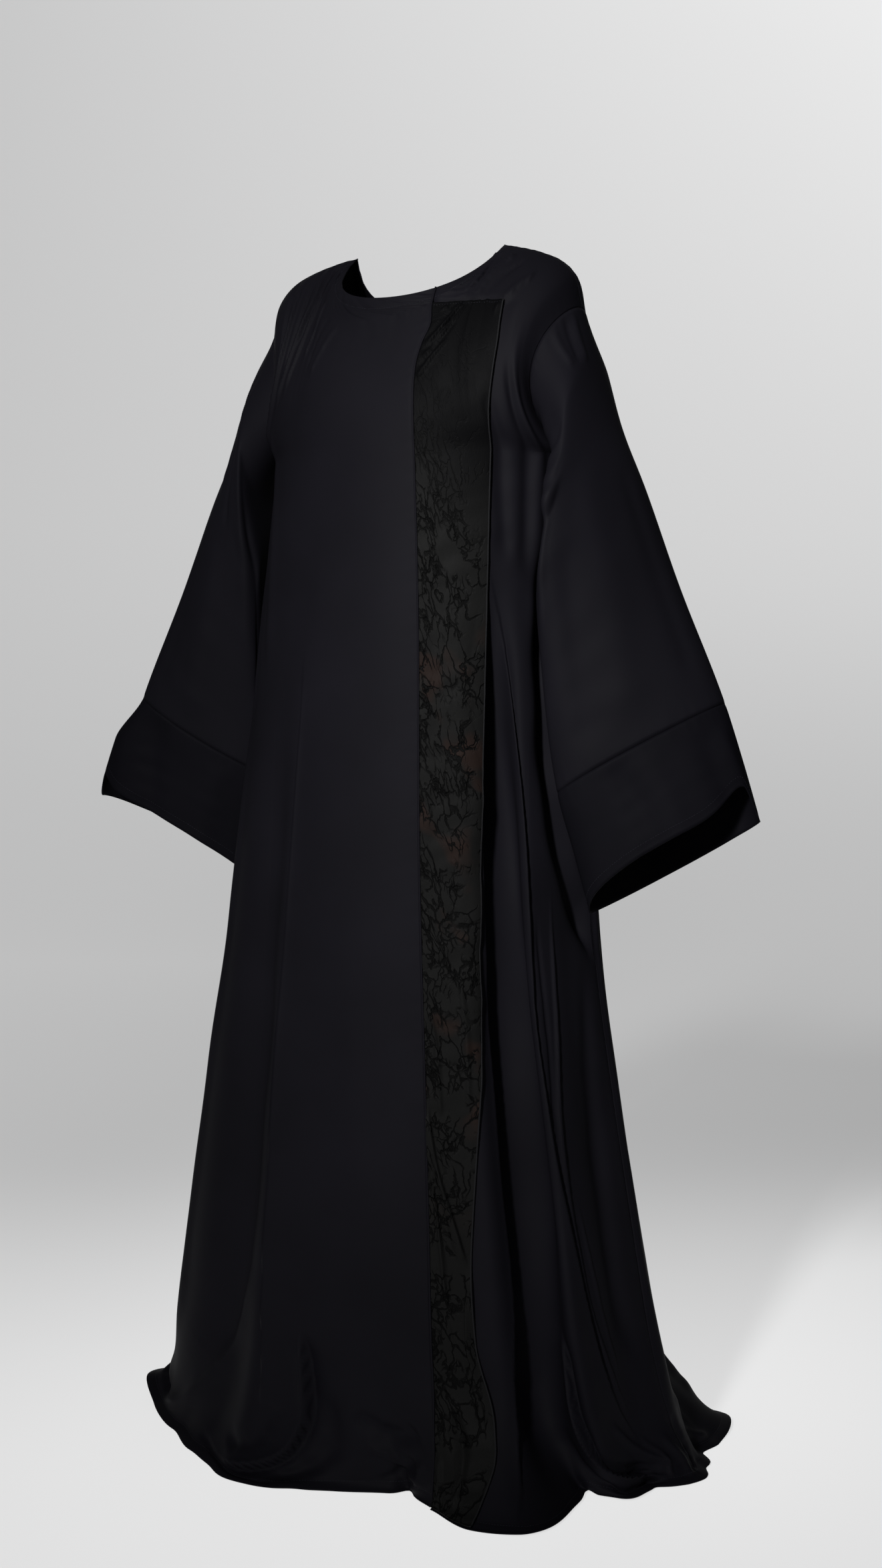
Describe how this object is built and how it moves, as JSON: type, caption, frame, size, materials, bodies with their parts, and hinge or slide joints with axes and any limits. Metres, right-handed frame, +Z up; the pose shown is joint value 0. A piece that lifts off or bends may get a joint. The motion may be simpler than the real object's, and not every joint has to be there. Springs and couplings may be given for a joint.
{
  "type": "abaya cloak",
  "caption": "Floor-length black abaya cloak with a round neck, wide sleeves, deep turned cuffs and a broad textured band let into the front, standing hollow as worn.",
  "frame": {"origin": "midway between the two neck points of the shoulder seams, where the wearer holds the cloak up", "axes": "+Z up along the body's length, -Y to the front, +X to the wearer's left"},
  "size_m": [0.94, 0.5978, 1.4996],
  "materials": {
    "crepe": "plain black crepe, matt with a faint blue cast",
    "jacquard": "black jacquard with a slightly shiny irregular vein relief"
  },
  "bodies": {
    "root": {"front_right": "crepe", "front_left": "crepe", "back": "crepe", "front_band": "jacquard", "sleeve_left": "crepe", "sleeve_right": "crepe", "cuff_left": "crepe", "cuff_right": "crepe"}
  },
  "joints": []
}
